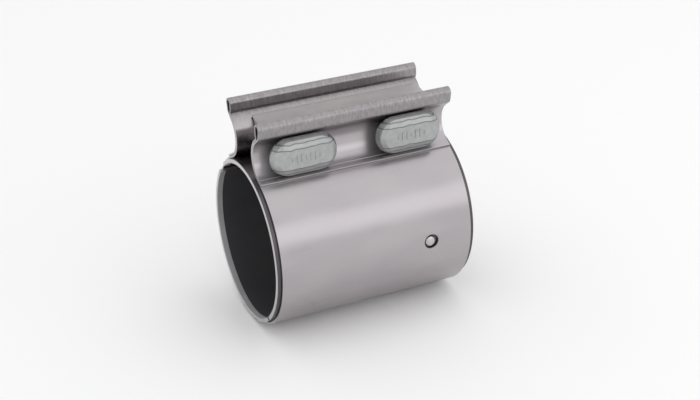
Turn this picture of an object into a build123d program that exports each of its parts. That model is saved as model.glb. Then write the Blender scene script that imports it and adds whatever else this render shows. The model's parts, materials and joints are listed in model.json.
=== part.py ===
from build123d import *
import math
import os

# Wide-band bolted pipe coupling, millimetres.
# X is the pipe axis, -Y the side of the bolt heads, +Y the side of the nuts, +Z up to the
# flanges. The origin is the middle of the bore. Angles are in the YZ plane, from +Y
# towards +Z, so the flanges stand at 90 degrees and the front is at 180 degrees.

# Pipe and sleeve
pipe_diameter = 63.5
bore_clearance = 0.10        # between the pipe and each sleeve half, before tightening
sleeve_wall = 1.6
sleeve_overhang = 1.8        # past each end of the band

# Band: one strip, bent into two rolled flanges
band_length = 82.0
band_thickness = 0.9
band_clearance = 0.25        # between the sleeve and the loose band
waist_half_gap = 7.6         # from the middle to each flange's inner face at the bolts
waist_radius = 10.4          # inner face of the hollow that the bolt heads lie in
lobe_inset = 3.0             # rolled edge on top, from the middle of the hollow towards the bar
lobe_rise = 1.94             # and above the top of the hollow
lobe_width = 4.4
lobe_height = 6.6
front_fold_overlap = 2.36    # folded-back layer that lies on the band, past the hollow
rear_fold_overlap = 4.47

# The band bends about a line opposite the sleeve's top joint
bend_angle = 230.0
bend_gap = 0.06              # half the saw cut that stands for the bending line

# Sleeve joints, on both sides of the bending line and opposite it
sleeve_bottom_gap = 4.0      # degrees
front_sleeve_end = 51.5
rear_sleeve_end = 39.0
tongue_width = 34.0
tongue_side_clearance = 0.5
top_tongue_reach = 18.0      # degrees past the end of the rear sleeve half
top_groove_depth = 10.5      # degrees into the front sleeve half
bottom_tongue_reach = 6.0
bottom_groove_depth = 5.0

# Bolts, nuts and half-round spacers
bolt_setback = 18.5          # from each end of the band
bolt_diameter = 10.0
thread_clearance = 0.06      # radial, nut on bolt
hole_clearance = 0.7         # radial, bolt in flange
bar_hole_clearance = 0.3     # radial, bolt in bar
spacer_clearance = 0.3       # radial, bolt in spacer
head_length = 28.0
head_bulk = 1.3              # from the middle of the round side to the outer face
head_side_clearance = 0.4    # radial, head and spacer in the hollow
head_seat_gap = 0.10
head_face_inset = 3.7        # from the head's side to the flat middle of its outer face
head_facet_inset = 0.8       # and to the ridge between its two slopes
head_facet_drop = 1.5
head_rim_drop = 3.6
spacer_length = 24.0
spacer_bulk = 1.08           # from the middle of the round side to the nut's face
spacer_side_trim = 0.1       # by which the sides stop short of a full half round
spacer_seat_gap = 0.02
nut_wall = 3.5               # from the bolt to each flat
nut_chamfer_width = 0.7      # by which the 30 degree chamfer narrows the outer face
nut_height = 9.6
nut_gap = 0.05               # between nut and spacer, which turn on each other
nut_turns = {"left": 8.0, "right": -21.0}   # degrees that each nut happens to stand at
bolt_tail = 6.4              # thread past the nut
bolt_tip_chamfer = 1.2

# Bar between the flanges
bar_side_clearance = 0.8     # from each flange, so that the flanges can close
bar_left_setback = 8.0       # from the ends of the band
bar_right_setback = 1.0
bar_depth = 4.26             # below the bolt axis
bar_roof = 1.14              # over each bolt hole, under the trough
bar_trough_depth = 2.1

# Locating rivet in the front sleeve half
rivet_setback = 18.2         # from the right end of the band
rivet_angle = 180.2
rivet_radius = 2.2
rivet_hole_clearance = 0.75  # radial, in the band
rivet_inset = 0.1            # below the bore surface
rivet_rise = 0.3             # above the band

# Sizes that follow
bore_radius = pipe_diameter / 2 + bore_clearance
sleeve_radius = bore_radius + sleeve_wall
sleeve_length = band_length + 2 * sleeve_overhang
band_inner = sleeve_radius + band_clearance
band_outer = band_inner + band_thickness
hollow_y = waist_half_gap + waist_radius
hollow_z = math.sqrt((band_inner + waist_radius) ** 2 - hollow_y ** 2)
tangent_angle = math.degrees(math.atan2(hollow_z, hollow_y))
fold_face = waist_radius - 2 * band_thickness
lobe_centre_y = hollow_y - lobe_inset
lobe_centre_z = hollow_z + waist_radius + lobe_rise
seat_y = waist_half_gap + 2 * band_thickness
bolt_x = band_length / 2 - bolt_setback
bolt_xs = {"left": -bolt_x, "right": bolt_x}
head_round_radius = fold_face - head_side_clearance
head_height = 2 * math.sqrt(head_round_radius ** 2 - (head_rim_drop - head_bulk) ** 2)
head_depth = head_round_radius + head_bulk
spacer_height = 2 * (head_round_radius - spacer_side_trim)
spacer_depth = head_round_radius + spacer_bulk
head_face_y = seat_y + head_seat_gap + head_depth
head_rim_y = head_face_y - head_rim_drop
spacer_face_y = seat_y + spacer_seat_gap + spacer_depth
nut_across_flats = bolt_diameter + 2 * nut_wall
bar_trough_z = hollow_z + bolt_diameter / 2 + bar_hole_clearance + bar_roof
bar_edge_z = bar_trough_z + bar_trough_depth
rivet_x = band_length / 2 - rivet_setback


def polar(radius, angle, centre=(0.0, 0.0)):
    turn = math.radians(angle)
    return centre[0] + radius * math.cos(turn), centre[1] + radius * math.sin(turn)


def ring_part(inner, outer, start, end, centre=(0.0, 0.0)):
    """Flat piece of a ring between two radii and two angles."""
    outside = CenterArc(centre, outer, start, end - start)
    inside = CenterArc(centre, inner, start, end - start)
    ends = [Line(outside @ 1, inside @ 1), Line(inside @ 0, outside @ 0)]
    return make_face([outside, inside] + ends)


def along_x(section, start, end):
    """Extrude a YZ section along the pipe from one place to another."""
    return extrude(Plane.YZ.offset(start) * section, amount=end - start)


def across_y(radius, x, z, start, end):
    """Round bar across the flanges, along Y."""
    place = Plane(origin=(x, start, z), x_dir=(1, 0, 0), z_dir=(0, 1, 0))
    return extrude(place * Circle(radius), amount=end - start)


def shell_piece(inner, outer, start, end, half_length):
    """Curved plate of a sleeve or band, centred on the middle of the pipe axis."""
    return along_x(ring_part(inner, outer, start, end), -half_length, half_length)


def flange_section(fold_overlap):
    """Rear flange: hollow, rolled lobe and the layer folded back on the band."""
    hollow = (hollow_y, hollow_z)
    edge_angle = tangent_angle - math.degrees(fold_overlap / band_outer)
    roll_radius = lobe_width / 2
    roll_low = (lobe_centre_y, lobe_centre_z - lobe_height / 2 + roll_radius)
    roll_high = (lobe_centre_y, lobe_centre_z + lobe_height / 2 - roll_radius)
    reach = math.dist(hollow, roll_low)
    towards = math.degrees(math.atan2(roll_low[1] - hollow[1], roll_low[0] - hollow[0]))
    leave = towards + math.degrees(math.acos((fold_face + roll_radius) / reach))
    crease_cosine = (reach ** 2 + waist_radius ** 2 - roll_radius ** 2) / (2 * reach * waist_radius)
    crease = towards + math.degrees(math.acos(crease_cosine))
    arrive = 180.0 + tangent_angle
    section = ring_part(fold_face, waist_radius, leave, arrive, hollow)
    section += ring_part(waist_radius - band_thickness, waist_radius, crease, leave, hollow)
    section += ring_part(band_outer, band_outer + band_thickness, edge_angle, tangent_angle)
    neck = [
        polar(fold_face, leave, hollow),
        polar(roll_radius, leave + 180.0, roll_low),
        roll_low,
        polar(waist_radius, crease, hollow),
        polar(waist_radius - band_thickness / 2, leave, hollow),
    ]
    section += make_face(Polyline(neck, close=True))
    section += Pos(*roll_low) * Circle(roll_radius)
    section += Pos(*roll_high) * Circle(roll_radius)
    section += Pos(lobe_centre_y, lobe_centre_z) * Rectangle(lobe_width, lobe_height - lobe_width)
    slot_radius = roll_radius - band_thickness
    slot = Pos(*roll_low) * Circle(slot_radius)
    slot += Pos(*roll_high) * Circle(slot_radius)
    slot += Pos(lobe_centre_y, lobe_centre_z) * Rectangle(
        2 * slot_radius, lobe_height - lobe_width)
    return section - slot


def bolt_holes():
    """One round hole in both flanges for each bolt."""
    reach = hollow_y - 2.0
    radius = bolt_diameter / 2 + hole_clearance
    return [across_y(radius, x, hollow_z, -reach, reach) for x in bolt_xs.values()]


def band_rear_half():
    bend_step = math.degrees(bend_gap / band_inner)
    section = ring_part(band_inner, band_outer, bend_angle + bend_step, 360.0 + tangent_angle)
    section += flange_section(rear_fold_overlap)
    return along_x(section, -band_length / 2, band_length / 2) - bolt_holes()


def rivet_axis(offset):
    """Plane on the rivet's axis, facing out, at a distance from the pipe axis."""
    y, z = polar(offset, rivet_angle)
    out = polar(1.0, rivet_angle)
    return Plane(origin=(rivet_x, y, z), x_dir=(1, 0, 0), z_dir=(0, out[0], out[1]))


def band_front_half():
    bend_step = math.degrees(bend_gap / band_inner)
    section = ring_part(band_inner, band_outer, 180.0 - tangent_angle, bend_angle - bend_step)
    section += mirror(flange_section(front_fold_overlap), about=Plane.YZ)
    band = along_x(section, -band_length / 2, band_length / 2) - bolt_holes()
    hole = rivet_axis(sleeve_radius) * Circle(rivet_radius + rivet_hole_clearance)
    return band - extrude(hole, amount=3 * band_thickness)


def tongue(start, end, clearance=0.0):
    """Strip in the middle of the sleeve's length that joins one half to the other."""
    return shell_piece(bore_radius, sleeve_radius, start, end, tongue_width / 2 + clearance)


def sleeve_front_half():
    bottom = bend_angle - sleeve_bottom_gap / 2
    half = shell_piece(
        bore_radius, sleeve_radius, front_sleeve_end, bottom, sleeve_length / 2)
    half += tongue(bottom - 1.0, bottom + bottom_tongue_reach)
    groove_end = front_sleeve_end + top_groove_depth
    half -= shell_piece(bore_radius - 1.0, sleeve_radius + 1.0, front_sleeve_end - 1.0,
                        groove_end, tongue_width / 2 + tongue_side_clearance)
    hole = rivet_axis(bore_radius - 1.0) * Circle(rivet_radius)
    return half - extrude(hole, amount=sleeve_wall + 2.0)


def sleeve_rear_half():
    bottom = bend_angle + sleeve_bottom_gap / 2
    top = 360.0 + rear_sleeve_end
    half = shell_piece(bore_radius, sleeve_radius, bottom, top, sleeve_length / 2)
    half += tongue(top - 1.0, top + top_tongue_reach)
    return half - shell_piece(bore_radius - 1.0, sleeve_radius + 1.0, bottom - 1.0,
                              bottom + bottom_groove_depth,
                              tongue_width / 2 + tongue_side_clearance)


def locating_rivet():
    shank_top = band_inner + band_thickness / 2
    start = bore_radius + rivet_inset
    shank = extrude(rivet_axis(start) * Circle(rivet_radius), amount=shank_top - start)
    rise = band_outer + rivet_rise - shank_top
    ball = (rivet_radius ** 2 + rise ** 2) / (2 * rise)
    dome = rivet_axis(shank_top + rise - ball) * Sphere(ball)
    keep = extrude(rivet_axis(shank_top) * Circle(rivet_radius), amount=2 * rise)
    return shank + (dome & keep)


def half_round_section(seat_gap, height, outline):
    """D section in YZ, round side to the middle; outline is the outer side, top to bottom."""
    seat = seat_y + seat_gap
    round_y = seat + head_round_radius
    half = height / 2
    join_y = round_y - math.sqrt(head_round_radius ** 2 - half ** 2)
    nose = ThreePointArc((join_y, half), (seat, 0.0), (join_y, -half))
    points = [(join_y, -half)] + outline[::-1] + [(join_y, half)]
    return Pos(0, hollow_z) * make_face([nose, Polyline(points)])


def rounded_ends(length, height, x):
    """Upright block with half-round ends, to trim a bolt head or spacer."""
    place = Plane(origin=(x, 0, hollow_z), x_dir=(1, 0, 0), z_dir=(0, -1, 0))
    return extrude(place * SlotOverall(length, height), amount=2 * head_face_y, both=True)


def ball_ended_bar(x):
    """Round bar with ball ends, to round the back of a bolt head."""
    half = (head_length - head_height) / 2
    round_y = seat_y + head_seat_gap + head_round_radius
    left = CenterArc((-half, 0), head_round_radius, 90.0, 90.0)
    right = CenterArc((half, 0), head_round_radius, 0.0, 90.0)
    outline = make_face([left, Line(left @ 0, right @ 1), right, Line(right @ 0, left @ 1)])
    return Pos(x, -round_y, hollow_z) * revolve(outline, Axis.X)


def t_bolt(side):
    x = bolt_xs[side]
    rim = head_height / 2
    outline = [
        (head_face_y - head_facet_drop, rim - head_facet_inset),
        (head_face_y, rim - head_face_inset),
        (head_face_y, head_face_inset - rim),
        (head_face_y - head_facet_drop, head_facet_inset - rim),
    ]
    section = mirror(half_round_section(head_seat_gap, head_height, outline), about=Plane.YZ)
    head = along_x(section, x - head_length / 2, x + head_length / 2)
    head &= rounded_ends(head_length, head_height, x)
    back = ball_ended_bar(x)
    front = Pos(x, -head_rim_y - head_depth / 2, hollow_z) * Box(head_length, head_depth, head_height)
    head &= back + front
    tip = spacer_face_y + nut_gap + nut_height + bolt_tail
    shank = across_y(bolt_diameter / 2, x, hollow_z, -head_rim_y, tip)
    shank = chamfer(shank.edges().sort_by(Axis.Y)[-1], bolt_tip_chamfer)
    return head + shank


def pivot_spacer(side):
    x = bolt_xs[side]
    rim = spacer_height / 2
    outline = [(spacer_face_y, rim), (spacer_face_y, -rim)]
    section = half_round_section(spacer_seat_gap, spacer_height, outline)
    body = along_x(section, x - spacer_length / 2, x + spacer_length / 2)
    body &= rounded_ends(spacer_length, spacer_height, x)
    hole_radius = bolt_diameter / 2 + spacer_clearance
    return body - across_y(hole_radius, x, hollow_z, 0.0, 2 * spacer_face_y)


def hex_nut(side):
    x = bolt_xs[side]
    start = spacer_face_y + nut_gap
    place = Plane(origin=(x, start, hollow_z), x_dir=(1, 0, 0), z_dir=(0, 1, 0))
    corner = nut_across_flats / math.sqrt(3)
    hexagon = RegularPolygon(corner, 6, rotation=nut_turns[side])
    face = nut_across_flats / 2 - nut_chamfer_width
    widening = nut_height / math.tan(math.radians(30.0))
    cone = Cone(face + widening, face, nut_height, align=(Align.CENTER, Align.CENTER, Align.MIN))
    nut = extrude(place * hexagon, amount=nut_height) & place * cone
    hole_radius = bolt_diameter / 2 + thread_clearance
    return nut - across_y(hole_radius, x, hollow_z, 0.0, start + 2 * nut_height)


def reaction_bar():
    flank = waist_radius + bar_side_clearance

    def flank_point(z):
        return hollow_y - math.sqrt(flank ** 2 - (z - hollow_z) ** 2), z

    top = flank_point(bar_edge_z)
    low = flank_point(hollow_z - bar_depth)
    waist = (hollow_y - flank, hollow_z)
    section = make_face([
        ThreePointArc(low, waist, top),
        ThreePointArc(top, (0.0, bar_trough_z), (-top[0], top[1])),
        ThreePointArc((-top[0], top[1]), (-waist[0], hollow_z), (-low[0], low[1])),
        Line((-low[0], low[1]), low),
    ])
    bar = along_x(section, bar_left_setback - band_length / 2, band_length / 2 - bar_right_setback)
    radius = bolt_diameter / 2 + bar_hole_clearance
    return bar - [across_y(radius, x, hollow_z, -hollow_y, hollow_y) for x in bolt_xs.values()]


def main():
    nodes = {
        "band_front_half": band_front_half(),
        "band_rear_half": band_rear_half(),
        "sleeve_front_half": sleeve_front_half(),
        "sleeve_rear_half": sleeve_rear_half(),
        "locating_rivet": locating_rivet(),
        "reaction_bar": reaction_bar(),
    }
    for side in bolt_xs:
        nodes[f"t_bolt_{side}"] = t_bolt(side)
        nodes[f"pivot_spacer_{side}"] = pivot_spacer(side)
        nodes[f"nut_{side}"] = hex_nut(side)
    os.makedirs("parts", exist_ok=True)
    for name, shape in nodes.items():
        export_step(shape, f"parts/{name}.step")
    print("bolt axis height", round(hollow_z, 3))


main()
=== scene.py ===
import json
import math

import bmesh
import bpy
from mathutils import Matrix, Vector


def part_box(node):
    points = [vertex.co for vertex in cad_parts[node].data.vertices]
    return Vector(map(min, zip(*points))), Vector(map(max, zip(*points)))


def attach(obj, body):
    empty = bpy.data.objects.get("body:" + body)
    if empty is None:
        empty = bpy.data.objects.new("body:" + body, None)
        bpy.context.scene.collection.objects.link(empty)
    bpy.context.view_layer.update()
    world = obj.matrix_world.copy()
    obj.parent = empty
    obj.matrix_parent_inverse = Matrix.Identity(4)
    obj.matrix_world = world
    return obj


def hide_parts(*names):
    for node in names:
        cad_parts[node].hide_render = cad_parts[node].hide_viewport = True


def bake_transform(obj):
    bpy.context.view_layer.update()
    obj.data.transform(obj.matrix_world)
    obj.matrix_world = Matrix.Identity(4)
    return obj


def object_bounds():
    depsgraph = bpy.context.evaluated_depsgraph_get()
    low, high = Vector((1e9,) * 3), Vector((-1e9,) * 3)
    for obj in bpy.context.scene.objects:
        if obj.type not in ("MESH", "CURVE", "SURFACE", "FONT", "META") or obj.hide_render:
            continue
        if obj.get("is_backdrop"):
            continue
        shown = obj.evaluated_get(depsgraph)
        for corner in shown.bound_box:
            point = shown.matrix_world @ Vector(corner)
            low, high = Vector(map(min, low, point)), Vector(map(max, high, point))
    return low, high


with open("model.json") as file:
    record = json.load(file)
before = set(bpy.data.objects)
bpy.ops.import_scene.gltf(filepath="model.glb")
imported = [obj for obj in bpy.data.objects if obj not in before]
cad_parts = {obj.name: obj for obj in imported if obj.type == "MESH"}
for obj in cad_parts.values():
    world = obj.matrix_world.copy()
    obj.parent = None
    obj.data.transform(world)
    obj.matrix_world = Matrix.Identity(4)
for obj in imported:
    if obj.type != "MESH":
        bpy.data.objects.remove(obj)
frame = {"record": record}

mm = 0.001
cad_low, cad_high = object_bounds()


# ---------------------------------------------------------------------------
# Split inner sleeve: two halves rolled from stainless plate, the rear one with a tongue
# on top and the front one with a tongue below. They lie loose in the band, round the
# pipe, and the bore has a black graphite film that seals against the pipe.
# ---------------------------------------------------------------------------

sleeve_half_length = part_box("sleeve_rear_half")[1].x
sleeve_radius = -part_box("sleeve_rear_half")[0].z
bore_radius = frame["record"]["mounts"][0]["dims"]["r_mm"] * mm
front_sleeve_end = 51.5          # degrees from +Y towards +Z
rear_sleeve_end = 39.0
bend_angle = 230.0
sleeve_bottom_gap = 4.0
tongue_half_width = 17.0 * mm
groove_half_width = 17.5 * mm
top_tongue_end = rear_sleeve_end + 18.0
top_groove_end = front_sleeve_end + 10.5
bottom_tongue_end = bend_angle - sleeve_bottom_gap / 2 + 6.0
bottom_groove_end = bend_angle + sleeve_bottom_gap / 2 + 5.0
sheet_edge_round = 0.16 * mm     # sheared and tumbled edges
film_setback = 2.3 * mm          # bare strip at each mouth of the bore


def linear(code):
    """An sRGB hex colour as linear RGBA."""
    channels = [int(code[i:i + 2], 16) / 255 for i in (0, 2, 4)]
    return [c / 12.92 if c <= 0.04045 else ((c + 0.055) / 1.055) ** 2.4 for c in channels] + [1.0]


def add(tree, kind, inputs=None, **settings):
    """A node with its settings; each input takes a value or a link from a socket."""
    node = tree.nodes.new(kind)
    for name, value in settings.items():
        setattr(node, name, value)
    for name, value in (inputs or {}).items():
        if isinstance(value, bpy.types.NodeSocket):
            tree.links.new(value, node.inputs[name])
        else:
            node.inputs[name].default_value = value
    return node


def on_circle(radius, angle, centre=(0.0, 0.0)):
    turn = math.radians(angle)
    return centre[0] + radius * math.cos(turn), centre[1] + radius * math.sin(turn)


def steps(start, end, largest):
    """Evenly spaced values from start to end, no further apart than largest."""
    count = max(1, math.ceil(abs(end - start) / largest - 1e-6))
    return [start + (end - start) * i / count for i in range(count + 1)]


def make_solid(name, points, faces):
    """A closed mesh object from points in metres, with its faces turned outwards."""
    mesh = bpy.data.meshes.new(name)
    mesh.from_pydata([Vector(p) for p in points], [], faces)
    work = bmesh.new()
    work.from_mesh(mesh)
    bmesh.ops.recalc_face_normals(work, faces=work.faces)
    work.to_mesh(mesh)
    work.free()
    piece = bpy.data.objects.new(name, mesh)
    bpy.context.scene.collection.objects.link(piece)
    return piece


def curved_plate(name, spans):
    """Plate bent about the pipe axis, made of spans (first angle, last angle, low x, high x)."""
    turns = set()
    for first, last, low, high in spans:
        turns.update(steps(first, last, 1.5))
    places = sorted({x for span in spans for x in span[2:]})
    turns = sorted({round(t, 6) for t in turns})
    filled = set()
    for i in range(len(turns) - 1):
        for j in range(len(places) - 1):
            turn = (turns[i] + turns[i + 1]) / 2
            x = (places[j] + places[j + 1]) / 2
            if any(s[0] < turn < s[1] and s[2] < x < s[3] for s in spans):
                filled.add((i, j))
    points, index, faces = [], {}, []

    def corner(i, j, layer):
        if (i, j, layer) not in index:
            index[i, j, layer] = len(points)
            y, z = on_circle((bore_radius, sleeve_radius)[layer], turns[i])
            points.append((places[j], y, z))
        return index[i, j, layer]

    for i, j in filled:
        for layer in (0, 1):
            faces.append([corner(i + a, j + b, layer) for a, b in ((0, 0), (1, 0), (1, 1), (0, 1))])
        for beside, (a, b), (c, d) in (((i - 1, j), (0, 0), (0, 1)), ((i + 1, j), (1, 0), (1, 1)),
                                       ((i, j - 1), (0, 0), (1, 0)), ((i, j + 1), (0, 1), (1, 1))):
            if beside not in filled:
                faces.append([corner(i + a, j + b, 0), corner(i + c, j + d, 0),
                              corner(i + c, j + d, 1), corner(i + a, j + b, 1)])
    return make_solid(name, points, faces)


def cylinder_between(name, start, end, radius, sides=64):
    """Round bar from one point to another, for cutting holes."""
    axis = (Vector(end) - Vector(start)).normalized()
    across = axis.orthogonal().normalized()
    other = axis.cross(across)
    points = []
    for place in (Vector(start), Vector(end)):
        for k in range(sides):
            turn = 2 * math.pi * k / sides
            points.append(place + radius * (math.cos(turn) * across + math.sin(turn) * other))
    faces = [list(range(sides)), list(range(sides, 2 * sides))]
    faces += [[k, (k + 1) % sides, sides + (k + 1) % sides, sides + k] for k in range(sides)]
    return make_solid(name, points, faces)


def finish_mesh(piece, material, cutters=(), edge_round=0.0, least_turn=35.0):
    """Cuts the holes, rounds edges that turn by least_turn degrees and leaves a plain mesh."""
    for cutter in cutters:
        hole = piece.modifiers.new("hole", "BOOLEAN")
        hole.object = cutter
        hole.operation = "DIFFERENCE"
        hole.solver = "EXACT"
    if edge_round:
        bevel = piece.modifiers.new("edges", "BEVEL")
        bevel.width = edge_round
        bevel.segments = 2
        bevel.limit_method = "ANGLE"
        bevel.angle_limit = math.radians(least_turn)
        bevel.use_clamp_overlap = False
    piece.data.polygons.foreach_set("use_smooth", [True] * len(piece.data.polygons))
    weighted = piece.modifiers.new("shading", "WEIGHTED_NORMAL")
    weighted.keep_sharp = True
    ready = piece.evaluated_get(bpy.context.evaluated_depsgraph_get())
    mesh = bpy.data.meshes.new_from_object(ready)
    mesh.name = piece.name
    piece.modifiers.clear()
    piece.data = mesh
    for cutter in cutters:
        bpy.data.objects.remove(cutter)
    mesh.materials.clear()
    mesh.materials.append(material)
    return piece


def surface_material(name):
    """An empty metal material: its tree, shader and the object's own coordinates in metres."""
    material = bpy.data.materials.new(name)
    material.use_nodes = True
    tree = material.node_tree
    tree.nodes.clear()
    output = add(tree, "ShaderNodeOutputMaterial")
    shader = add(tree, "ShaderNodeBsdfPrincipled", {"Metallic": 1.0})
    tree.links.new(shader.outputs["BSDF"], output.inputs["Surface"])
    place = add(tree, "ShaderNodeTexCoord").outputs["Object"]
    return material, tree, shader, place


def noise(tree, place, sizes, detail=3.0, roughness=0.5):
    """Noise whose grains have these sizes in metres along X, Y and Z."""
    spread = add(tree, "ShaderNodeMapping", {"Vector": place, "Scale": [1 / s for s in sizes]})
    return add(tree, "ShaderNodeTexNoise", {"Vector": spread.outputs["Vector"], "Scale": 1.0,
               "Detail": detail, "Roughness": roughness}).outputs["Fac"]


def ranged(tree, value, low, high):
    """Noise, which keeps mostly between 0.3 and 0.7, spread from low to high."""
    return add(tree, "ShaderNodeMapRange", {"Value": value, "From Min": 0.3, "From Max": 0.7,
               "To Min": low, "To Max": high}).outputs["Result"]


def two_tones(tree, value, dark, light):
    """A colour between two sRGB tones."""
    mix = add(tree, "ShaderNodeMix", {"Factor": value}, data_type="RGBA")
    mix.inputs[6].default_value = linear(dark)
    mix.inputs[7].default_value = linear(light)
    return mix.outputs[2]


def bumped(tree, shader, height, depth):
    """Raises the surface by up to depth metres where height is 1."""
    bump = add(tree, "ShaderNodeBump", {"Height": height, "Strength": 1.0, "Distance": depth})
    tree.links.new(bump.outputs["Normal"], shader.inputs["Normal"])


def rolled_stainless_with_film_and_painted_shade():
    # Cold-rolled stainless plate, bare on its ends and on a matt strip at each mouth. The film in the
    # bore is black with a sharp edge. The outside, short of its end edges, is coloured dark grey:
    # painted shade from the band over it.
    material, tree, shader, place = surface_material("rolled_stainless_with_graphite_film_and_painted_shade")
    grain = noise(tree, place, (0.35 * mm, 9 * mm, 9 * mm))
    cloud = noise(tree, place, (14 * mm, 11 * mm, 11 * mm), 2.0)
    steel = two_tones(tree, ranged(tree, cloud, 0.0, 1.0), "BDBBBD", "C9C7C9")
    split = add(tree, "ShaderNodeSeparateXYZ", {"Vector": place})
    flat = add(tree, "ShaderNodeCombineXYZ", {"Y": split.outputs["Y"], "Z": split.outputs["Z"]})
    radius = add(tree, "ShaderNodeVectorMath", {0: flat.outputs["Vector"]}, operation="LENGTH")
    inside = add(tree, "ShaderNodeMath", {0: radius.outputs["Value"], 1: bore_radius + 0.25 * mm},
                 operation="LESS_THAN")
    along = add(tree, "ShaderNodeMath", {0: split.outputs["X"]}, operation="ABSOLUTE")
    covered = add(tree, "ShaderNodeMath", {0: along.outputs["Value"],
                  1: sleeve_half_length - film_setback}, operation="LESS_THAN")
    film = add(tree, "ShaderNodeMath", {0: inside.outputs["Value"], 1: covered.outputs["Value"]},
               operation="MULTIPLY").outputs["Value"]
    black = two_tones(tree, cloud, "28282A", "3A3A3D")
    colour = add(tree, "ShaderNodeMix", {"Factor": film}, data_type="RGBA")
    tree.links.new(steel, colour.inputs[6])
    tree.links.new(black, colour.inputs[7])
    # Painted shade: the sleeve's outer face, where it shows beside the band's edges, is coloured dark
    # grey for the shade under the band.
    outside = add(tree, "ShaderNodeMath", {0: radius.outputs["Value"], 1: sleeve_radius - 0.1 * mm},
                  operation="GREATER_THAN")
    off_edge = add(tree, "ShaderNodeMath", {0: along.outputs["Value"],
                   1: sleeve_half_length - sheet_edge_round}, operation="LESS_THAN")
    painted_shade_outside = add(tree, "ShaderNodeMath", {0: outside.outputs["Value"], 1: off_edge.outputs["Value"]},
               operation="MULTIPLY").outputs["Value"]
    shade = add(tree, "ShaderNodeMix", {"Factor": painted_shade_outside}, data_type="RGBA")
    shade.inputs[7].default_value = linear("5C585A")
    tree.links.new(colour.outputs[2], shade.inputs[6])
    tree.links.new(shade.outputs[2], shader.inputs["Base Color"])
    bare = add(tree, "ShaderNodeMath", {0: 1.0, 1: film}, operation="SUBTRACT").outputs["Value"]
    tree.links.new(bare, shader.inputs["Metallic"])
    mouth = add(tree, "ShaderNodeMath", {0: inside.outputs["Value"], 1: 0.34,
                2: ranged(tree, grain, 0.30, 0.38)}, operation="MULTIPLY_ADD")
    polish = mouth.outputs["Value"]
    dull = add(tree, "ShaderNodeMix", {"Factor": film, 2: polish, 3: 0.55})
    tree.links.new(dull.outputs[0], shader.inputs["Roughness"])
    bumped(tree, shader, grain, 0.0012 * mm)
    return material


sleeve_steel = rolled_stainless_with_film_and_painted_shade()
rivet_x = (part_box("locating_rivet")[0].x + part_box("locating_rivet")[1].x) / 2
rivet_radius = (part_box("locating_rivet")[1].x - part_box("locating_rivet")[0].x) / 2
rivet_angle = 180.2


def rivet_point(radius, aside=0.0):
    return Vector((rivet_x + aside,) + on_circle(radius, rivet_angle))


front_sleeve = curved_plate("sleeve_front", [
    (front_sleeve_end, top_groove_end, -sleeve_half_length, -groove_half_width),
    (front_sleeve_end, top_groove_end, groove_half_width, sleeve_half_length),
    (top_groove_end, bend_angle - sleeve_bottom_gap / 2, -sleeve_half_length, sleeve_half_length),
    (bend_angle - sleeve_bottom_gap / 2, bottom_tongue_end, -tongue_half_width, tongue_half_width),
])
rivet_hole = cylinder_between("rivet_hole", rivet_point(bore_radius - mm),
                              rivet_point(sleeve_radius + mm), rivet_radius + 0.01 * mm)
finish_mesh(front_sleeve, sleeve_steel, [rivet_hole], sheet_edge_round)
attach(front_sleeve, "front_half")
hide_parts("sleeve_front_half")

rear_sleeve = curved_plate("sleeve_rear", [
    (bend_angle + sleeve_bottom_gap / 2, bottom_groove_end, -sleeve_half_length, -groove_half_width),
    (bend_angle + sleeve_bottom_gap / 2, bottom_groove_end, groove_half_width, sleeve_half_length),
    (bottom_groove_end, 360.0 + rear_sleeve_end, -sleeve_half_length, sleeve_half_length),
    (360.0 + rear_sleeve_end, 360.0 + top_tongue_end, -tongue_half_width, tongue_half_width),
])
finish_mesh(rear_sleeve, sleeve_steel, edge_round=sheet_edge_round)
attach(rear_sleeve, "rear_half")
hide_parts("sleeve_rear_half")


# ---------------------------------------------------------------------------
# Locating rivet: a domed stainless rivet, pressed into the front sleeve half so that the
# sleeve can't creep round in the band, and seen through a larger hole in the band.
# ---------------------------------------------------------------------------

rivet_inner = bore_radius + 0.1 * mm
rivet_top = 34.9 * mm
rivet_dome_height = 1.1 * mm     # over its rim
rivet_foot_chamfer = 0.3 * mm


def lathe(name, profile, origin, axis, sides=64, radius_of=None):
    """Turned solid from (height, radius) points about an axis; its ends are closed."""
    axis = Vector(axis).normalized()
    across = Vector((1, 0, 0))
    other = axis.cross(across)
    points, faces = [], []
    for row, (height, radius) in enumerate(profile):
        for k in range(sides):
            turn = 2 * math.pi * k / sides
            here = radius_of(row, turn) if radius_of else radius
            spoke = math.cos(turn) * across + math.sin(turn) * other
            points.append(Vector(origin) + axis * height + spoke * here)
    for row in range(len(profile) - 1):
        for k in range(sides):
            a, b = row * sides + k, row * sides + (k + 1) % sides
            faces.append([a, b, b + sides, a + sides])
    faces += [list(range(sides)), list(range(len(points) - sides, len(points)))]
    return make_solid(name, points, faces)


def brushed_rivet_steel():
    # Headed stainless wire: brighter than the plate, with a slightly uneven struck dome.
    material, tree, shader, place = surface_material("headed_stainless_wire")
    lump = noise(tree, place, (1.3 * mm, 1.3 * mm, 1.3 * mm))
    tone = two_tones(tree, ranged(tree, lump, 0, 1), "B9B8B9", "C6C5C6")
    tree.links.new(tone, shader.inputs["Base Color"])
    tree.links.new(ranged(tree, lump, 0.26, 0.36), shader.inputs["Roughness"])
    bumped(tree, shader, lump, 0.01 * mm)
    return material


dome_turns = steps(0.0, 80.0, 10.0)
dome = [(rivet_top - rivet_dome_height * (1 - math.sin(math.radians(t))),
         rivet_radius * math.cos(math.radians(t))) for t in dome_turns]
rivet_profile = [(rivet_inner, rivet_radius - rivet_foot_chamfer),
                 (rivet_inner + 0.12 * mm, rivet_radius)] + dome
rivet = lathe("locating_rivet_domed", rivet_profile, (rivet_x, 0, 0),
              (0,) + on_circle(1.0, rivet_angle))
finish_mesh(rivet, brushed_rivet_steel())
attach(rivet, "front_half")
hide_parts("locating_rivet")


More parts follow.
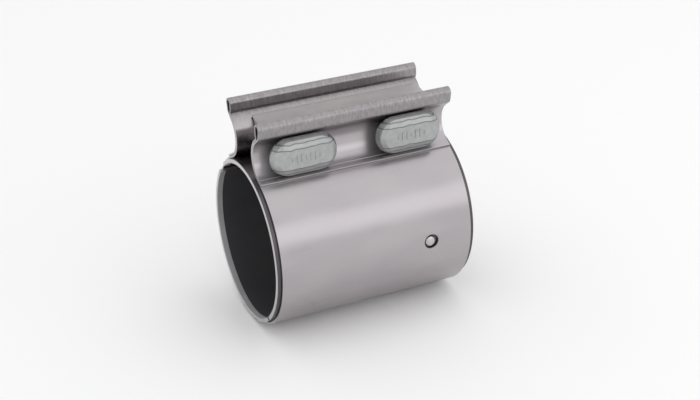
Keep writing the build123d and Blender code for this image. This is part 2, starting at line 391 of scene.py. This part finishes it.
# ---------------------------------------------------------------------------
# Band: one strip of cold-rolled stainless sheet. Each end is bent out into a hollow,
# rolled over into a lobe, and folded back down the hollow onto the band, where its cut
# edge shows. Two bolt holes go through both layers of each flange.
# ---------------------------------------------------------------------------

band_half_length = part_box("band_rear_half")[1].x
band_outer = -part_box("band_rear_half")[0].z
bolt_left_low, bolt_left_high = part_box("t_bolt_left")
bolt_right_low, bolt_right_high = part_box("t_bolt_right")
bolt_xs = {"left": (bolt_left_low.x + bolt_left_high.x) / 2,
           "right": (bolt_right_low.x + bolt_right_high.x) / 2}
bolt_height = (bolt_left_low.z + bolt_left_high.z) / 2
layer = 0.9 * mm                 # pitch of the two layers
seam = 0.04 * mm                 # air between them
hollow_radius = 10.4 * mm        # face towards the bar
hollow_y = 18.0 * mm
lobe_y = 15.0 * mm
lobe_low_z = 51.5 * mm           # centres of the lobe's two half rounds
lobe_high_z = 53.7 * mm
lobe_turn_radius = 2.2 * mm - layer / 2
lobe_lean = 0.62 * mm            # by which the outer side slopes in below
crease_radius = 0.7 * mm
front_fold_end = 62.0            # degrees, as if on the rear side
rear_fold_end = 58.5
bolt_hole_radius = 5.7 * mm
rivet_window_radius = 3.05 * mm
rivet_aside = 0.35 * mm          # the hole isn't quite centred on the rivet
through = 16.0 * mm              # past the flanges, from the middle


def flange_arcs(fold_end):
    """Rear flange as arcs (centre, radius, first angle, last angle) along the strip's middle."""
    hollow = (hollow_y, bolt_height)
    low, high = (lobe_y, lobe_low_z), (lobe_y, lobe_high_z)
    meet = math.degrees(math.atan2(bolt_height, hollow_y))
    inner, fold = hollow_radius - layer / 2, hollow_radius - 1.5 * layer
    reach = math.dist(hollow, low)
    towards = math.degrees(math.atan2(low[1] - hollow[1], low[0] - hollow[0]))
    leave = towards + math.degrees(math.acos((fold + lobe_turn_radius) / reach))
    heading = leave - 90.0
    ahead, left = on_circle(1.0, heading), on_circle(1.0, leave)
    aside = lobe_turn_radius - layer
    back = math.sqrt((lobe_turn_radius + crease_radius) ** 2 - (crease_radius - aside) ** 2)
    crease = [low[i] + (crease_radius - aside) * left[i] - back * ahead[i] for i in (0, 1)]
    across = math.degrees(math.atan2(low[1] - crease[1], low[0] - crease[0]))
    outer = tuple(low[i] - lobe_lean * ahead[i] for i in (0, 1))
    lean = math.degrees(math.atan2(outer[0] - high[0], high[1] - outer[1]))
    return [
        ((0.0, 0.0), band_outer - layer / 2, -90.0, meet),
        (hollow, inner, meet + 180.0, leave),
        (tuple(crease), crease_radius, heading - 90.0, across),
        (low, lobe_turn_radius, across + 180.0, 180.0),
        (high, lobe_turn_radius, 180.0, lean),
        (outer, lobe_turn_radius, lean, leave - 180.0),
        (hollow, fold, leave, meet + 180.0),
        ((0.0, 0.0), band_outer + layer / 2, meet, fold_end),
    ]


def mirrored(arcs):
    """The same arcs on the front side, walked the other way."""
    return [((-c[0], c[1]), r, 180.0 - last, 180.0 - first) for c, r, first, last in reversed(arcs)]


def side_of(arcs, offset):
    """Points of one face of the strip; offset is to the left of the way it is walked."""
    points = []
    for centre, radius, first, last in arcs:
        inward = 1 if last > first else -1
        finest = 1.5 if radius > 20 * mm else 4.0 if radius > 5 * mm else 9.0
        for turn in steps(first, last, finest):
            point = on_circle(radius - inward * offset, turn, centre)
            if not points or math.dist(point, points[-1]) > 1e-7:
                points.append(point)
    return points


def extruded(name, outline, low_x, high_x):
    """Solid with this YZ outline from one place along the pipe to another."""
    count = len(outline)
    points = [(x, y, z) for x in (low_x, high_x) for y, z in outline]
    faces = [list(range(count)), list(range(count, 2 * count))]
    faces += [[k, (k + 1) % count, count + (k + 1) % count, count + k] for k in range(count)]
    return make_solid(name, points, faces)


def strip_solid(name, left, right, low_x, high_x):
    """Long thin solid between two faces of a strip, with a quad for every step."""
    count = len(left)
    points = [(x, y, z) for x in (low_x, high_x) for side in (left, right) for y, z in side]
    faces = []
    for k in range(count - 1):
        for start in (0, 2 * count):
            faces.append([start + k, start + k + 1, start + count + k + 1, start + count + k])
        for start in (0, count):
            faces.append([start + k, start + k + 1, 2 * count + start + k + 1, 2 * count + start + k])
    for k in (0, count - 1):
        faces.append([k, count + k, 3 * count + k, 2 * count + k])
    return make_solid(name, points, faces)


def bolt_holes(radius):
    """Round bars on both bolts' axes that reach past the flanges, for cutting holes."""
    return [cylinder_between("bolt_hole", (x, -through, bolt_height), (x, through, bolt_height),
                             radius) for x in bolt_xs.values()]


def cold_rolled_strip():
    # Stainless strip with a smooth 2B finish: soft wide highlights, faint grain along the
    # strip, which runs round the band, and cloudy patches where the rolls pressed unevenly.
    # The lobes were bent hardest, so their surface is rougher, like orange peel. Above 46 mm the colour
    # is also darker and mottled: painted shade on the lobes.
    material, tree, shader, place = surface_material("cold_rolled_stainless_strip")
    grain = noise(tree, place, (0.45 * mm, 30 * mm, 30 * mm), 2.0)
    cloud = noise(tree, place, (22 * mm, 10 * mm, 8 * mm), 2.0)
    tone = two_tones(tree, ranged(tree, cloud, 0.0, 1.0), "AEA9AC", "B4B0B2")
    height = add(tree, "ShaderNodeSeparateXYZ", {"Vector": place}).outputs["Z"]
    lobe_bend_and_painted_shade = add(tree, "ShaderNodeMapRange", {"Value": height, "From Min": 46 * mm,
               "From Max": 50 * mm}).outputs["Result"]
    peel = noise(tree, place, (0.8 * mm, 2.4 * mm, 2.4 * mm), 3.0)
    # Painted shade: above 46 mm the strip's colour turns to a darker mottled grey, standing in for the
    # shade on the lobes; their orange peel is the bump and extra roughness.
    painted_lobe_shade = add(tree, "ShaderNodeMix", {"Factor": lobe_bend_and_painted_shade}, data_type="RGBA")
    tree.links.new(tone, painted_lobe_shade.inputs[6])
    tree.links.new(two_tones(tree, ranged(tree, peel, 0.0, 1.0), "8D898B", "A5A1A3"), painted_lobe_shade.inputs[7])
    tree.links.new(painted_lobe_shade.outputs[2], shader.inputs["Base Color"])
    strength = add(tree, "ShaderNodeMath", {0: peel, 1: lobe_bend_and_painted_shade}, operation="MULTIPLY")
    streaks = add(tree, "ShaderNodeMath", {0: grain, 1: 0.05}, operation="MULTIPLY")
    relief = add(tree, "ShaderNodeMath", {0: strength.outputs["Value"],
                 1: streaks.outputs["Value"]}, operation="ADD")
    base = ranged(tree, cloud, 0.27, 0.33)
    rough = add(tree, "ShaderNodeMath", {0: lobe_bend_and_painted_shade, 1: 0.06, 2: base}, operation="MULTIPLY_ADD")
    tree.links.new(rough.outputs["Value"], shader.inputs["Roughness"])
    bumped(tree, shader, relief.outputs["Value"], 0.036 * mm)
    return material


front_arcs, rear_arcs = mirrored(flange_arcs(front_fold_end)), flange_arcs(rear_fold_end)
strip_arcs = front_arcs[:-1] + [((0.0, 0.0), band_outer - layer / 2,
                                 front_arcs[-1][2], rear_arcs[0][3] + 360.0)] + rear_arcs[1:]
half_sheet = (layer - seam) / 2
band = strip_solid("band", side_of(strip_arcs, half_sheet), side_of(strip_arcs, -half_sheet),
                   -band_half_length, band_half_length)
holes = bolt_holes(bolt_hole_radius)
holes.append(cylinder_between("rivet_window", rivet_point(band_outer - 2 * mm, rivet_aside),
                              rivet_point(band_outer + mm, rivet_aside), rivet_window_radius))
band_steel = cold_rolled_strip()
finish_mesh(band, band_steel, holes, 0.13 * mm)
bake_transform(band)
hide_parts("band_front_half", "band_rear_half")


# ---------------------------------------------------------------------------
# Bar: a drawn steel section between the flanges. Its hollow sides keep the flanges
# parallel as they close, its top has a shallow trough, and the bolts pass through it.
# ---------------------------------------------------------------------------

bar_low, bar_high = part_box("reaction_bar")
bar_flank_radius = 11.2 * mm
bar_trough_z = 46.7 * mm
bar_hole_radius = 5.3 * mm
bar_edge_round = 0.25 * mm


def arc_through(start, middle, end, count):
    """Points on the circle through three points."""
    (ax, ay), (bx, by), (cx, cy) = start, middle, end
    d = 2 * (ax * (by - cy) + bx * (cy - ay) + cx * (ay - by))
    ux = ((ax**2 + ay**2) * (by - cy) + (bx**2 + by**2) * (cy - ay) + (cx**2 + cy**2) * (ay - by)) / d
    uy = ((ax**2 + ay**2) * (cx - bx) + (bx**2 + by**2) * (ax - cx) + (cx**2 + cy**2) * (bx - ax)) / d
    first, through_angle, last = (math.atan2(p[1] - uy, p[0] - ux) for p in (start, middle, end))
    turn = 2 * math.pi
    if (through_angle - first) % turn < (last - first) % turn:
        sweep = (last - first) % turn
    else:
        sweep = -((first - last) % turn)
    radius = math.dist(start, (ux, uy))
    return [(ux + radius * math.cos(first + sweep * k / count),
             uy + radius * math.sin(first + sweep * k / count)) for k in range(count + 1)]


def drawn_bar_steel():
    # Drawn and zinc-plated steel: pale, with fine die lines along its length.
    material, tree, shader, place = surface_material("drawn_bar_steel")
    lines = noise(tree, place, (60 * mm, 0.35 * mm, 0.35 * mm), 3.0, 0.6)
    cloud = noise(tree, place, (9 * mm, 5 * mm, 5 * mm), 2.0)
    tone = two_tones(tree, ranged(tree, cloud, 0, 1), "B0ABAC", "BAB5B5")
    tree.links.new(tone, shader.inputs["Base Color"])
    tree.links.new(ranged(tree, lines, 0.36, 0.48), shader.inputs["Roughness"])
    bumped(tree, shader, lines, 0.006 * mm)
    return material


def flank_y(z):
    return hollow_y - math.sqrt(bar_flank_radius ** 2 - (z - bolt_height) ** 2)


bar_top = (flank_y(bar_high.z), bar_high.z)
bar_foot = (flank_y(bar_low.z), bar_low.z)
bar_waist = (hollow_y - bar_flank_radius, bolt_height)
bar_outline = arc_through(bar_foot, bar_waist, bar_top, 24)
bar_outline += arc_through(bar_top, (0.0, bar_trough_z), (-bar_top[0], bar_top[1]), 24)[1:]
bar_outline += arc_through((-bar_top[0], bar_top[1]), (-bar_waist[0], bolt_height),
                           (-bar_foot[0], bar_foot[1]), 24)[1:]
bar = extruded("bar", bar_outline, bar_low.x, bar_high.x)
finish_mesh(bar, drawn_bar_steel(), bolt_holes(bar_hole_radius), bar_edge_round)
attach(bar, "bar")
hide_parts("reaction_bar")


# ---------------------------------------------------------------------------
# T-bolts: forged steel with a dull zinc-flake coating. The long head lies in the front
# hollow on its round side; its outer face is forged in slopes, with raised batch marks.
# ---------------------------------------------------------------------------

head_length = bolt_left_high.x - bolt_left_low.x
head_height = bolt_left_high.z - bolt_left_low.z
head_face_y = -bolt_left_low.y
head_seat_y = 9.5 * mm
head_round_radius = 8.2 * mm
round_step, end_step, ball_step = 4.0, 7.5, 7.0      # degrees from one small face to the next
round_reach = 86.0               # degrees either way from the seat
ball_start, ball_stop = 18.0, 81.0
plane_slack = 0.003              # mm by which a corner may stand outside a plane
merge_distance = 0.004           # mm
flat_angle = 0.6                 # degrees between faces that become one
head_edge_round = 0.22 * mm
head_slopes = [(3.7 * mm, 0.0), (0.8 * mm, 1.5 * mm), (0.0, 3.6 * mm)]   # inset from the rim, drop
head_end_slopes = [(2.7 * mm, 0.0), (0.9 * mm, 1.3 * mm), (0.0, 3.6 * mm)]
painted_ridge_shade_offsets = [4.1 * mm, 6.0 * mm]      # painted shade lines along the head's slope ridges, from its middle
shank_radius = 5.0 * mm
thread_pitch = 1.5 * mm
thread_depth = 0.8 * mm
thread_start = 17.0 * mm
tip_chamfer = 1.2 * mm
shank_root = 4.0 * mm            # from the head's seat into the head
thread_runout = 0.5 * mm


def convex_solid(name, planes, inside):
    """Closed mesh of the space inside all planes (point, outward direction)."""
    sides = [(Vector(p) / mm, Vector(n).normalized()) for p, n in planes]
    middle = Vector(inside) / mm
    work = bmesh.new()
    for point, out in sides:         # the hull of these has a face for each of the solid's corners
        work.verts.new(out / out.dot(point - middle))
    bmesh.ops.convex_hull(work, input=work.verts)
    reaches = [(f.normal, f.normal.dot(f.verts[0].co)) for f in work.faces]
    corners = [middle + normal / reach for normal, reach in reaches if abs(reach) > 1e-6]
    corners = [c for c in corners if all(out.dot(c - point) < plane_slack for point, out in sides)]
    work.clear()
    for corner in corners:
        work.verts.new(corner)
    bmesh.ops.remove_doubles(work, verts=work.verts, dist=merge_distance)
    hull = bmesh.ops.convex_hull(work, input=work.verts)
    unused = [g for g in hull["geom_interior"] if isinstance(g, bmesh.types.BMVert)]
    bmesh.ops.delete(work, geom=unused, context="VERTS")
    bmesh.ops.dissolve_limit(work, angle_limit=math.radians(flat_angle), verts=work.verts,
                             edges=work.edges)
    work.verts.index_update()
    points = [v.co * mm for v in work.verts]
    faces = [[v.index for v in f.verts] for f in work.faces]
    work.free()
    return make_solid(name, points, faces)


def half_round(name, x, side, seat_y, face_y, length, height, slopes, end_slopes, ball_ends):
    """Convex block with a round side in a hollow, a sloped outer face and half-round ends."""
    half = height / 2
    outwards = Vector((0, side, 0))
    middle = Vector((x, side * (seat_y + head_round_radius), bolt_height))
    face = Vector((x, side * face_y, bolt_height))
    planes = [(face, outwards)]
    for turn in steps(-round_reach, round_reach, round_step):
        away = Vector((0, -side * math.cos(math.radians(turn)), math.sin(math.radians(turn))))
        planes.append((middle + away * head_round_radius, away))
    for up in (Vector((0, 0, 1)), Vector((0, 0, -1))):
        planes.append((middle + up * half, up))
        for (inset, drop), (next_inset, next_drop) in zip(slopes, slopes[1:]):
            planes.append((face + up * (half - inset) - outwards * drop,
                           outwards * (inset - next_inset) + up * (next_drop - drop)))
    for end in (-1, 1):
        shift = Vector((end * (length / 2 - half), 0, 0))
        for turn in steps(-90.0, 90.0, end_step):
            out = Vector((end * math.cos(math.radians(turn)), 0, math.sin(math.radians(turn))))
            planes.append((middle + shift + out * half, out))
            for back in steps(ball_start, ball_stop, ball_step) if ball_ends else []:
                away = out * math.cos(math.radians(back)) - outwards * math.sin(math.radians(back))
                planes.append((middle + shift + away * head_round_radius, away))
            for (inset, drop), (next_inset, next_drop) in zip(end_slopes, end_slopes[1:]):
                planes.append((face + shift + out * (half - inset) - outwards * drop,
                               outwards * (inset - next_inset) + out * (next_drop - drop)))
    return convex_solid(name, planes, (middle + face) / 2)


def zinc_flake_forging():
    # Forging under a sprayed zinc-flake coat: flat greenish grey, matt, faintly lumpy from the scale
    # below. Two thin darker lines along the outer face, where its slopes meet, are painted shade.
    material, tree, shader, place = surface_material("zinc_flake_forging")
    lump = noise(tree, place, (2.2 * mm, 2.2 * mm, 2.2 * mm), 4.0)
    fleck = noise(tree, place, (0.35 * mm, 0.35 * mm, 0.35 * mm), 2.0)
    tone = two_tones(tree, ranged(tree, lump, 0, 1), "A7A9A9", "B4B6B5")
    tree.links.new(ranged(tree, fleck, 0.46, 0.58), shader.inputs["Roughness"])
    both = add(tree, "ShaderNodeMath", {0: fleck, 1: 0.3, 2: lump}, operation="MULTIPLY_ADD")
    split = add(tree, "ShaderNodeSeparateXYZ", {"Vector": place})
    waver = noise(tree, place, (4 * mm, 30 * mm, 30 * mm), 1.0)
    level = add(tree, "ShaderNodeMath", {0: waver, 1: 1.0 * mm, 2: split.outputs["Z"]},
                operation="MULTIPLY_ADD")
    off = add(tree, "ShaderNodeMath", {0: level.outputs["Value"], 1: bolt_height + 0.5 * mm},
              operation="SUBTRACT")
    off = add(tree, "ShaderNodeMath", {0: off.outputs["Value"]}, operation="ABSOLUTE")
    outer = add(tree, "ShaderNodeMath", {0: split.outputs["Y"], 1: 0.2 * mm - head_seat_y},
                operation="LESS_THAN")
    # Painted shade: two thin darker lines on the head's outer face, where its forged slopes meet, stand
    # in for the shade at those ridges.
    for offset in painted_ridge_shade_offsets:
        line = add(tree, "ShaderNodeMath", {0: off.outputs["Value"], 1: offset, 2: 0.22 * mm},
                   operation="COMPARE")
        line = add(tree, "ShaderNodeMath", {0: line.outputs["Value"], 1: outer.outputs["Value"]},
                   operation="MULTIPLY")
        painted_ridge_shade = add(tree, "ShaderNodeMix", {"Factor": line.outputs["Value"]}, data_type="RGBA")
        tree.links.new(tone, painted_ridge_shade.inputs[6])
        painted_ridge_shade.inputs[7].default_value = linear("808283")
        tone = painted_ridge_shade.outputs[2]
    tree.links.new(tone, shader.inputs["Base Color"])
    bumped(tree, shader, both.outputs["Value"], 0.05 * mm)
    return material


def thread_radius(height, turn):
    """Radius of a rolled thread at this height and angle, sharp outside and in the root."""
    phase = (height / thread_pitch - turn / (2 * math.pi)) % 1.0
    return shank_radius - thread_depth * min(1.0, 1.25 * abs(2 * phase - 1.0))


def raised_marks_tree(material):
    """Geometry Nodes: a row of small upright bars, every third one short, on a plane."""
    tree = bpy.data.node_groups.new("raised_marks", "GeometryNodeTree")
    for name, kind in (("Count", "NodeSocketInt"), ("Spacing", "NodeSocketFloat"),
                       ("Width", "NodeSocketFloat"), ("Height", "NodeSocketFloat"),
                       ("Relief", "NodeSocketFloat")):
        tree.interface.new_socket(name, in_out="INPUT", socket_type=kind)
    tree.interface.new_socket("Geometry", in_out="OUTPUT", socket_type="NodeSocketGeometry")
    given = add(tree, "NodeGroupInput").outputs
    place = add(tree, "ShaderNodeCombineXYZ", {"X": given["Spacing"]})
    line = add(tree, "GeometryNodeMeshLine", {"Count": given["Count"],
               "Offset": place.outputs["Vector"]})
    size = add(tree, "ShaderNodeCombineXYZ", {"X": given["Width"], "Y": given["Relief"],
               "Z": given["Height"]})
    bar_shape = add(tree, "GeometryNodeMeshCube", {"Size": size.outputs["Vector"]})
    index = add(tree, "GeometryNodeInputIndex")
    third = add(tree, "ShaderNodeMath", {0: index.outputs["Index"], 1: 3.0}, operation="MODULO")
    short = add(tree, "ShaderNodeMath", {0: third.outputs["Value"], 1: 0.5}, operation="LESS_THAN")
    tall = add(tree, "ShaderNodeMath", {0: short.outputs["Value"], 1: -0.6, 2: 1.0},
               operation="MULTIPLY_ADD")
    scale = add(tree, "ShaderNodeCombineXYZ", {"X": 1.0, "Y": 1.0, "Z": tall.outputs["Value"]})
    copies = add(tree, "GeometryNodeInstanceOnPoints", {"Points": line.outputs["Mesh"],
                 "Instance": bar_shape.outputs["Mesh"], "Scale": scale.outputs["Vector"]})
    real = add(tree, "GeometryNodeRealizeInstances", {"Geometry": copies.outputs["Instances"]})
    painted = add(tree, "GeometryNodeSetMaterial", {"Geometry": real.outputs["Geometry"],
                  "Material": material})
    add(tree, "NodeGroupOutput", {"Geometry": painted.outputs["Geometry"]})
    return tree


zinc = zinc_flake_forging()
marks_tree = raised_marks_tree(zinc)
mark_sizes = {"Count": 7, "Spacing": 1.9 * mm, "Width": 0.6 * mm, "Height": 3.4 * mm,
              "Relief": 0.5 * mm}


def raised_marks(name, x):
    """Batch marks on a bolt head, half sunk into its outer face."""
    marks = make_solid(name, [(0, 0, 0), (mm, 0, 0), (0, mm, 0)], [[0, 1, 2]])
    modifier = marks.modifiers.new("marks", "NODES")
    modifier.node_group = marks_tree
    for item in marks_tree.interface.items_tree:
        if item.name in mark_sizes:
            modifier[item.identifier] = mark_sizes[item.name]
    ready = marks.evaluated_get(bpy.context.evaluated_depsgraph_get())
    mesh = bpy.data.meshes.new_from_object(ready)
    marks.modifiers.clear()
    row = mark_sizes["Spacing"] * (mark_sizes["Count"] - 1)
    mesh.transform(Matrix.Translation((x - row / 2, -head_face_y, bolt_height)))
    marks.data = mesh
    return marks


for side, x in bolt_xs.items():
    body = f"bolt_{side}"
    head = half_round(f"t_bolt_head_{side}", x, -1, head_seat_y, head_face_y, head_length,
                      head_height, head_slopes, head_end_slopes, True)
    finish_mesh(head, zinc, edge_round=head_edge_round, least_turn=15.0)
    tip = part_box(f"t_bolt_{side}")[1].y
    rows = [head_face_y - head_seat_y - shank_root, head_face_y + thread_start - thread_runout]
    rows += [head_face_y + y for y in steps(thread_start, tip, thread_pitch / 10)]

    def shank_at(row, turn):
        height = rows[row] - head_face_y
        tapered = shank_radius - max(0.0, height - (tip - tip_chamfer))
        return min(tapered, thread_radius(height, turn)) if height >= thread_start else shank_radius

    shank = lathe(f"t_bolt_shank_{side}", [(y, 0) for y in rows],
                  (x, -head_face_y, bolt_height), (0, 1, 0), 48, shank_at)
    finish_mesh(shank, zinc)
    marks = raised_marks(f"t_bolt_marks_{side}", x)
    finish_mesh(marks, zinc, edge_round=0.1 * mm)
    for piece in (head, shank, marks):
        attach(piece, body)
    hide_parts(f"t_bolt_{side}")


# ---------------------------------------------------------------------------
# Spacers: half-round forgings in the rear hollow, so that each nut bears on a flat face.
# The round side lets the flange tilt as the band closes.
# ---------------------------------------------------------------------------

spacer_seat_y = 9.42 * mm
spacer_hole_radius = 5.3 * mm
spacer_edge_round = 0.3 * mm

for side, x in bolt_xs.items():
    low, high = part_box(f"pivot_spacer_{side}")
    spacer = half_round(f"spacer_{side}", x, 1, spacer_seat_y, high.y, high.x - low.x,
                        high.z - low.z, [], [], False)
    hole = cylinder_between("spacer_hole", (x, spacer_seat_y - mm, bolt_height),
                            (x, high.y + mm, bolt_height), spacer_hole_radius)
    finish_mesh(spacer, zinc, [hole], spacer_edge_round)
    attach(spacer, "rear_half")
    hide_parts(f"pivot_spacer_{side}")


# ---------------------------------------------------------------------------
# Nuts: M10 hexagon nuts, zinc plated. The outer face has the usual 30 degree chamfer,
# and the thread is countersunk.
# ---------------------------------------------------------------------------

nut_half_flats = 8.5 * mm
nut_face_radius = 7.8 * mm
nut_bore_radius = 5.06 * mm
nut_countersink = 0.6 * mm
nut_chamfer = 30.0               # degrees
nut_edge_round = 0.15 * mm
nut_sides = 120
nut_turns = {"left": 8.0, "right": -21.0}


def plated_nut_steel():
    # Bright zinc plate over a cold-forged nut: shinier than the bolts, with a bluish cast.
    material, tree, shader, place = surface_material("zinc_plated_nut")
    cloud = noise(tree, place, (3 * mm, 3 * mm, 3 * mm), 3.0)
    tone = two_tones(tree, ranged(tree, cloud, 0, 1), "A9ABAD", "C0C1C1")
    tree.links.new(tone, shader.inputs["Base Color"])
    tree.links.new(ranged(tree, cloud, 0.28, 0.42), shader.inputs["Roughness"])
    bumped(tree, shader, cloud, 0.02 * mm)
    return material


def hex_radius(turn):
    """Distance from the axis to a hexagon's side in this direction; a corner lies at 0."""
    away = (math.degrees(turn) + 30.0) % 60.0 - 30.0
    return nut_half_flats / math.cos(math.radians(30.0 - abs(away)))


nut_steel = plated_nut_steel()
for side, x in bolt_xs.items():
    low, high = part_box(f"nut_{side}")
    height = high.y - low.y
    points, faces = [], []
    for k in range(nut_sides):
        turn = 2 * math.pi * k / nut_sides
        rim = hex_radius(turn)
        drop = max(0.0, rim - nut_face_radius) * math.tan(math.radians(nut_chamfer))
        ring = [(nut_bore_radius + nut_countersink, 0.0), (rim, 0.0), (rim, height - drop),
                (nut_face_radius, height), (nut_bore_radius + nut_countersink, height),
                (nut_bore_radius, height - nut_countersink), (nut_bore_radius, nut_countersink)]
        angle = turn + math.radians(nut_turns[side])
        points += [(x + r * math.cos(angle), low.y + up, bolt_height - r * math.sin(angle))
                   for r, up in ring]
    count = len(ring)
    for k in range(nut_sides):
        for i in range(count):
            a, b = k * count, (k + 1) % nut_sides * count
            faces.append([a + i, a + (i + 1) % count, b + (i + 1) % count, b + i])
    nut = make_solid(f"hex_nut_{side}", points, faces)
    finish_mesh(nut, nut_steel, edge_round=nut_edge_round)
    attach(nut, f"nut_{side}")
    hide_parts(f"nut_{side}")


# ---------------------------------------------------------------------------
# Studio: a pale floor, a large soft box overhead, another behind the camera and an even
# grey room. The coupling stands on the floor with its flanges on top.
# ---------------------------------------------------------------------------

def softbox(name, azimuth, elevation, distance, width, height, brightness):
    """Area light of even brightness that faces the object; azimuth 0 is on the -Y side."""
    light = bpy.data.lights.new(name, "AREA")
    light.shape = "RECTANGLE"
    light.size = width
    light.size_y = height
    light.energy = math.pi * width * height * brightness
    lamp = bpy.data.objects.new(name, light)
    a, e = math.radians(azimuth), math.radians(elevation)
    back = Vector((-math.sin(a) * math.cos(e), -math.cos(a) * math.cos(e), math.sin(e)))
    lamp.location = back * distance
    lamp.rotation_euler = back.to_track_quat("Z", "Y").to_euler()
    bpy.context.scene.collection.objects.link(lamp)
    return lamp


softbox("overhead_softbox", -60.0, 72.0, 0.9, 1.0, 1.0, 0.22)
softbox("front_softbox", -24.0, 24.0, 1.1, 1.3, 0.5, 0.6)

room_brightness = 0.95
room = bpy.data.worlds.new("grey_room")
room.use_nodes = True
room.node_tree.nodes["Background"].inputs["Color"].default_value = linear("FFFFFF")
room.node_tree.nodes["Background"].inputs["Strength"].default_value = room_brightness
bpy.context.scene.world = room

floor_half = 3.0
floor_z = cad_low.z
floor = make_solid("floor", [(-floor_half, -floor_half, floor_z), (floor_half, -floor_half, floor_z),
                             (floor_half, floor_half, floor_z), (-floor_half, floor_half, floor_z)],
                   [[0, 1, 2, 3]])
paper = bpy.data.materials.new("matt_white_paper")
paper.use_nodes = True
paper.node_tree.nodes["Principled BSDF"].inputs["Base Color"].default_value = linear("F8F8F8")
paper.node_tree.nodes["Principled BSDF"].inputs["Roughness"].default_value = 0.9
floor.data.materials.append(paper)
floor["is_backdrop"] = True

bpy.context.scene.view_settings.view_transform = "Standard"

camera_azimuth = 24.35           # degrees from the -Y side towards the left end
camera_elevation = 26.37
camera_roll = -1.53
camera_distance = 0.5816
camera_target = Vector((3.64, 0.0, 7.61)) * mm
camera = bpy.data.objects.new("camera", bpy.data.cameras.new("camera"))
a, e, roll = (math.radians(v) for v in (camera_azimuth, camera_elevation, camera_roll))
ahead = Vector((math.sin(a) * math.cos(e), math.cos(a) * math.cos(e), -math.sin(e)))
level = Vector((math.cos(a), -math.sin(a), 0.0))
upright = level.cross(ahead)
right = level * math.cos(roll) + upright * math.sin(roll)
upward = upright * math.cos(roll) - level * math.sin(roll)
turned = Matrix((right, upward, -ahead)).transposed().to_4x4()
camera.matrix_world = Matrix.Translation(camera_target - ahead * camera_distance) @ turned
camera.data.sensor_width = 36.0
camera.data.lens = 72.96
bpy.context.scene.collection.objects.link(camera)
bpy.context.scene.camera = camera

low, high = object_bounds()
